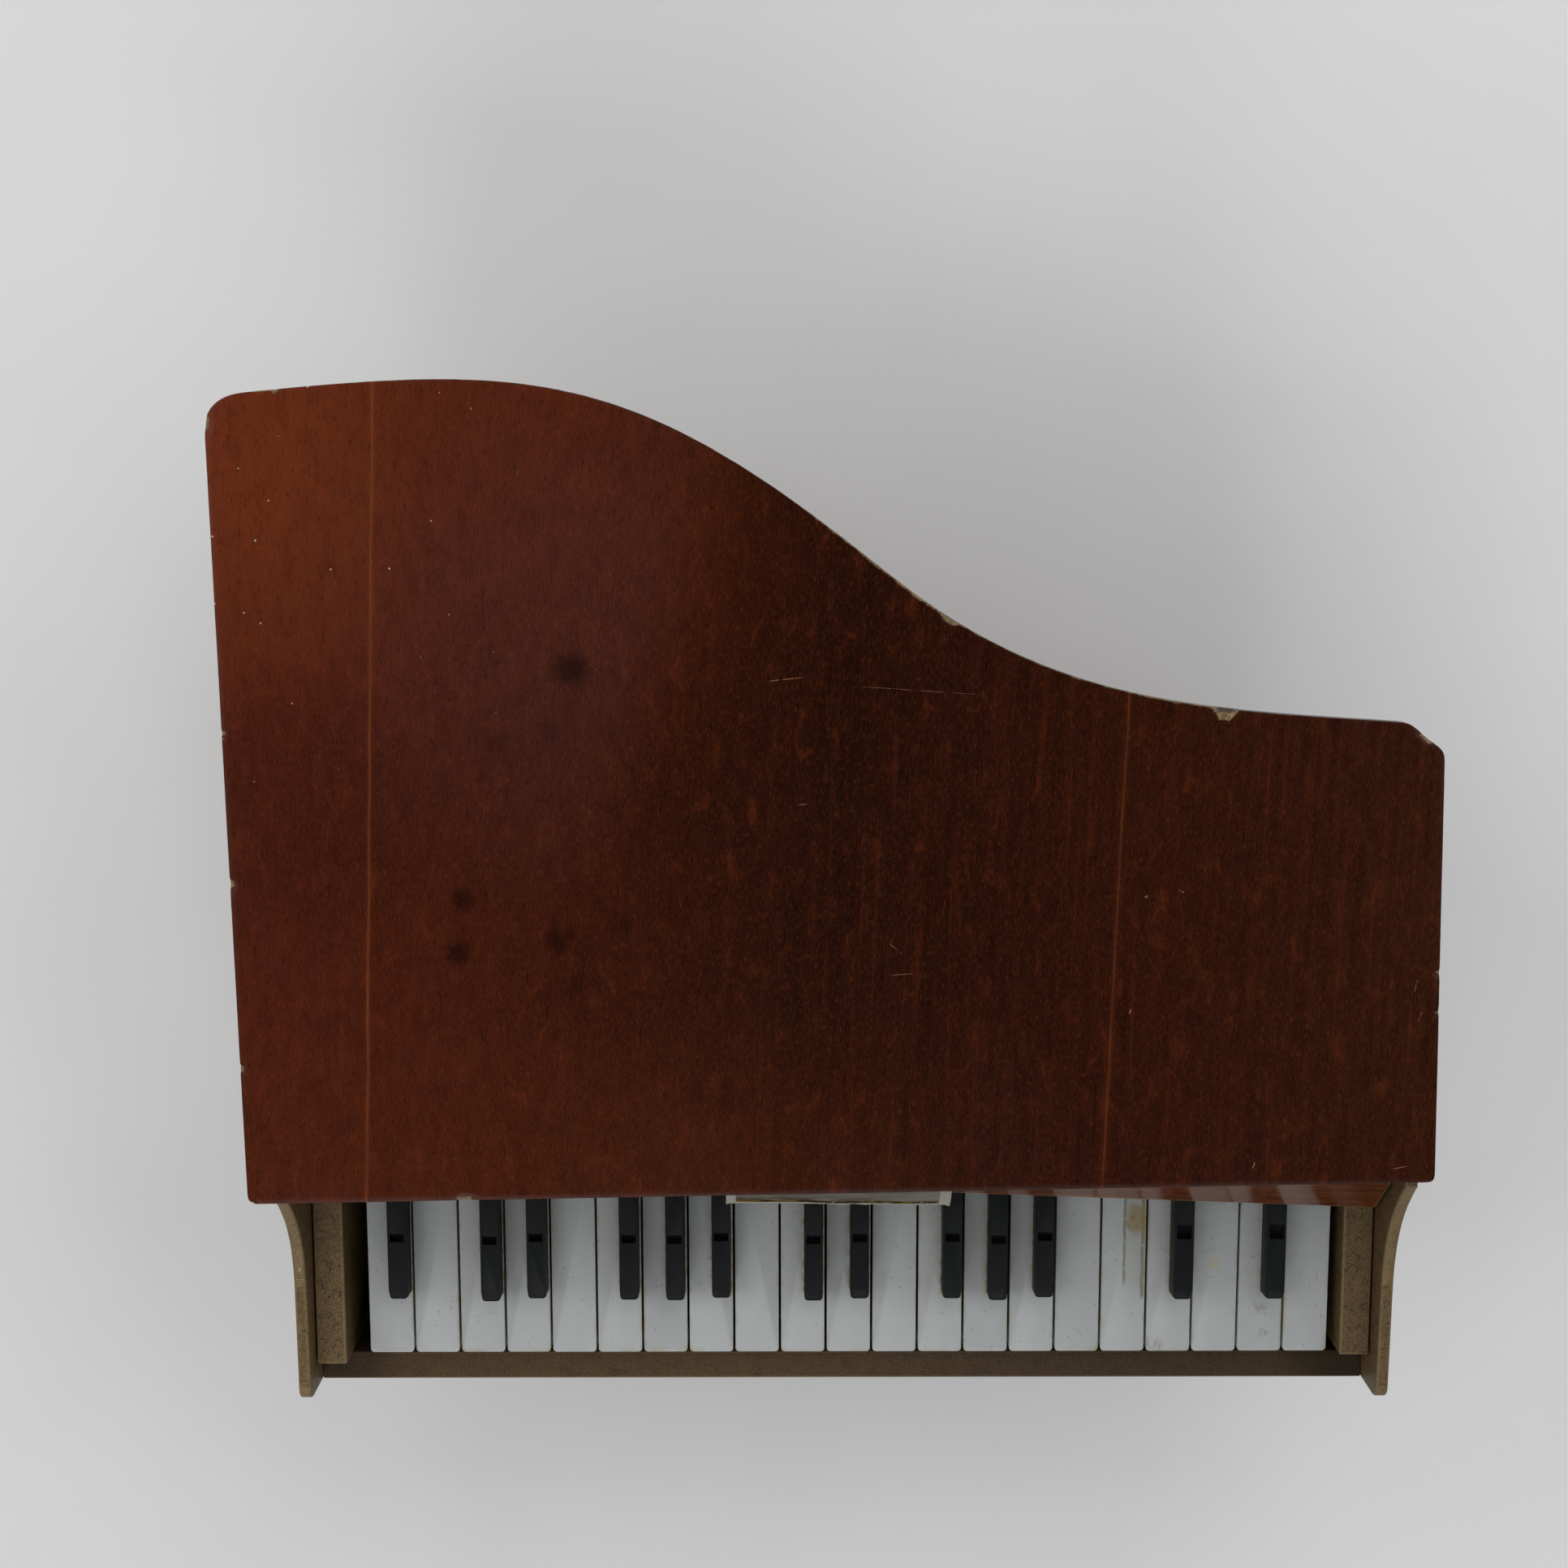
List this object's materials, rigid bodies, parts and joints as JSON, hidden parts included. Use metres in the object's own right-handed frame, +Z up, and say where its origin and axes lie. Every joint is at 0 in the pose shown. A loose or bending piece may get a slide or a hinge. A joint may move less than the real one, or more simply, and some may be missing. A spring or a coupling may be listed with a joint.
{
  "type": "toy grand piano",
  "caption": "Miniature grand piano with a flat veneered lid, open arms and a short keyboard whose sprung keys strike tuned steel plates inside.",
  "frame": {"origin": "on the floor below the middle of the overall bounding box", "axes": "+X towards the treble end, -Y towards the player, +Z up"},
  "size_m": [0.2376, 0.2098, 0.106],
  "materials": {
    "lid_veneer": "varnished",
    "bronze_board": "satin paint",
    "raw_board": "raw hardboard",
    "raw_wood": "raw",
    "fallboard_lacquer": "glossy lacquer",
    "label_paper": "aged",
    "green_felt": "felt",
    "red_felt": "felt",
    "comb_plastic": "moulded",
    "rod_steel": "drawn",
    "spring_steel": "rolled",
    "plate_steel": "ground",
    "pin_steel": "bright",
    "leg_lacquer": "varnished",
    "screw_brass": "plated",
    "white_plastic": "moulded",
    "black_plastic": "satin moulded"
  },
  "bodies": {
    "case": {"lid": "lid_veneer", "lid_battens": "raw_wood", "side_left": "bronze_board", "side_right": "bronze_board", "bent_side": "bronze_board", "bottom_board": "raw_board", "key_slip": "bronze_board", "key_block_left": "bronze_board", "key_block_right": "bronze_board", "fallboard": "fallboard_lacquer", "fallboard_label": "label_paper", "key_rails": "raw_wood", "key_felts": "green_felt", "pivot_comb": "comb_plastic", "pivot_rod": "rod_steel", "return_springs": "spring_steel", "tone_rails": "raw_wood", "tone_felts": "red_felt", "tone_plates": "plate_steel", "tone_pins": "pin_steel", "leg_front_left": "leg_lacquer", "leg_front_right": "leg_lacquer", "leg_tail": "leg_lacquer", "leg_studs": "rod_steel", "glue_blocks": "raw_wood", "base_screws": "screw_brass"},
    "key_01": {"white_key_01": "white_plastic", "black_key_01": "black_plastic"},
    "key_02": {"white_key_02": "white_plastic"},
    "key_03": {"white_key_03": "white_plastic", "black_key_02": "black_plastic"},
    "key_04": {"white_key_04": "white_plastic", "black_key_03": "black_plastic"},
    "key_05": {"white_key_05": "white_plastic"},
    "key_06": {"white_key_06": "white_plastic", "black_key_04": "black_plastic"},
    "key_07": {"white_key_07": "white_plastic", "black_key_05": "black_plastic"},
    "key_08": {"white_key_08": "white_plastic", "black_key_06": "black_plastic"},
    "key_09": {"white_key_09": "white_plastic"},
    "key_10": {"white_key_10": "white_plastic", "black_key_07": "black_plastic"},
    "key_11": {"white_key_11": "white_plastic", "black_key_08": "black_plastic"},
    "key_12": {"white_key_12": "white_plastic"},
    "key_13": {"white_key_13": "white_plastic", "black_key_09": "black_plastic"},
    "key_14": {"white_key_14": "white_plastic", "black_key_10": "black_plastic"},
    "key_15": {"white_key_15": "white_plastic", "black_key_11": "black_plastic"},
    "key_16": {"white_key_16": "white_plastic"},
    "key_17": {"white_key_17": "white_plastic"},
    "key_18": {"white_key_18": "white_plastic", "black_key_12": "black_plastic"},
    "key_19": {"white_key_19": "white_plastic"},
    "key_20": {"white_key_20": "white_plastic", "black_key_13": "black_plastic"},
    "key_21": {"white_key_21": "white_plastic"}
  },
  "joints": [
    {"name": "key_01_press", "type": "hinge", "parent": "case", "child": "key_01", "pos_m": [-0.09333, -0.04495, 0.07], "axis": [1, 0, 0], "range_deg": [0, 3.4], "stiffness_Nm_per_rad": 0.06, "springref_deg": -3.44},
    {"name": "key_02_press", "type": "hinge", "parent": "case", "child": "key_02", "pos_m": [-0.08363, -0.04495, 0.07], "axis": [1, 0, 0], "range_deg": [0, 3.4], "stiffness_Nm_per_rad": 0.06, "springref_deg": -3.44},
    {"name": "key_03_press", "type": "hinge", "parent": "case", "child": "key_03", "pos_m": [-0.07393, -0.04495, 0.07], "axis": [1, 0, 0], "range_deg": [0, 3.4], "stiffness_Nm_per_rad": 0.06, "springref_deg": -3.44},
    {"name": "key_04_press", "type": "hinge", "parent": "case", "child": "key_04", "pos_m": [-0.06423, -0.04495, 0.07], "axis": [1, 0, 0], "range_deg": [0, 3.4], "stiffness_Nm_per_rad": 0.06, "springref_deg": -3.44},
    {"name": "key_05_press", "type": "hinge", "parent": "case", "child": "key_05", "pos_m": [-0.05452, -0.04495, 0.07], "axis": [1, 0, 0], "range_deg": [0, 3.4], "stiffness_Nm_per_rad": 0.06, "springref_deg": -3.44},
    {"name": "key_06_press", "type": "hinge", "parent": "case", "child": "key_06", "pos_m": [-0.04482, -0.04495, 0.07], "axis": [1, 0, 0], "range_deg": [0, 3.4], "stiffness_Nm_per_rad": 0.06, "springref_deg": -3.44},
    {"name": "key_07_press", "type": "hinge", "parent": "case", "child": "key_07", "pos_m": [-0.03513, -0.04495, 0.07], "axis": [1, 0, 0], "range_deg": [0, 3.4], "stiffness_Nm_per_rad": 0.06, "springref_deg": -3.44},
    {"name": "key_08_press", "type": "hinge", "parent": "case", "child": "key_08", "pos_m": [-0.02542, -0.04495, 0.07], "axis": [1, 0, 0], "range_deg": [0, 3.4], "stiffness_Nm_per_rad": 0.06, "springref_deg": -3.44},
    {"name": "key_09_press", "type": "hinge", "parent": "case", "child": "key_09", "pos_m": [-0.01572, -0.04495, 0.07], "axis": [1, 0, 0], "range_deg": [0, 3.4], "stiffness_Nm_per_rad": 0.06, "springref_deg": -3.44},
    {"name": "key_10_press", "type": "hinge", "parent": "case", "child": "key_10", "pos_m": [-0.00602, -0.04495, 0.07], "axis": [1, 0, 0], "range_deg": [0, 3.4], "stiffness_Nm_per_rad": 0.06, "springref_deg": -3.44},
    {"name": "key_11_press", "type": "hinge", "parent": "case", "child": "key_11", "pos_m": [0.00367, -0.04495, 0.07], "axis": [1, 0, 0], "range_deg": [0, 3.4], "stiffness_Nm_per_rad": 0.06, "springref_deg": -3.44},
    {"name": "key_12_press", "type": "hinge", "parent": "case", "child": "key_12", "pos_m": [0.01337, -0.04495, 0.07], "axis": [1, 0, 0], "range_deg": [0, 3.4], "stiffness_Nm_per_rad": 0.06, "springref_deg": -3.44},
    {"name": "key_13_press", "type": "hinge", "parent": "case", "child": "key_13", "pos_m": [0.02307, -0.04495, 0.07], "axis": [1, 0, 0], "range_deg": [0, 3.4], "stiffness_Nm_per_rad": 0.06, "springref_deg": -3.44},
    {"name": "key_14_press", "type": "hinge", "parent": "case", "child": "key_14", "pos_m": [0.03277, -0.04495, 0.07], "axis": [1, 0, 0], "range_deg": [0, 3.4], "stiffness_Nm_per_rad": 0.06, "springref_deg": -3.44},
    {"name": "key_15_press", "type": "hinge", "parent": "case", "child": "key_15", "pos_m": [0.04247, -0.04495, 0.07], "axis": [1, 0, 0], "range_deg": [0, 3.4], "stiffness_Nm_per_rad": 0.06, "springref_deg": -3.44},
    {"name": "key_16_press", "type": "hinge", "parent": "case", "child": "key_16", "pos_m": [0.05217, -0.04495, 0.07], "axis": [1, 0, 0], "range_deg": [0, 3.4], "stiffness_Nm_per_rad": 0.06, "springref_deg": -3.44},
    {"name": "key_17_press", "type": "hinge", "parent": "case", "child": "key_17", "pos_m": [0.06187, -0.04495, 0.07], "axis": [1, 0, 0], "range_deg": [0, 3.4], "stiffness_Nm_per_rad": 0.06, "springref_deg": -3.44},
    {"name": "key_18_press", "type": "hinge", "parent": "case", "child": "key_18", "pos_m": [0.07157, -0.04495, 0.07], "axis": [1, 0, 0], "range_deg": [0, 3.4], "stiffness_Nm_per_rad": 0.06, "springref_deg": -3.44},
    {"name": "key_19_press", "type": "hinge", "parent": "case", "child": "key_19", "pos_m": [0.08128, -0.04495, 0.07], "axis": [1, 0, 0], "range_deg": [0, 3.4], "stiffness_Nm_per_rad": 0.06, "springref_deg": -3.44},
    {"name": "key_20_press", "type": "hinge", "parent": "case", "child": "key_20", "pos_m": [0.09098, -0.04495, 0.07], "axis": [1, 0, 0], "range_deg": [0, 3.4], "stiffness_Nm_per_rad": 0.06, "springref_deg": -3.44},
    {"name": "key_21_press", "type": "hinge", "parent": "case", "child": "key_21", "pos_m": [0.10068, -0.04495, 0.07], "axis": [1, 0, 0], "range_deg": [0, 3.4], "stiffness_Nm_per_rad": 0.06, "springref_deg": -3.44}
  ]
}
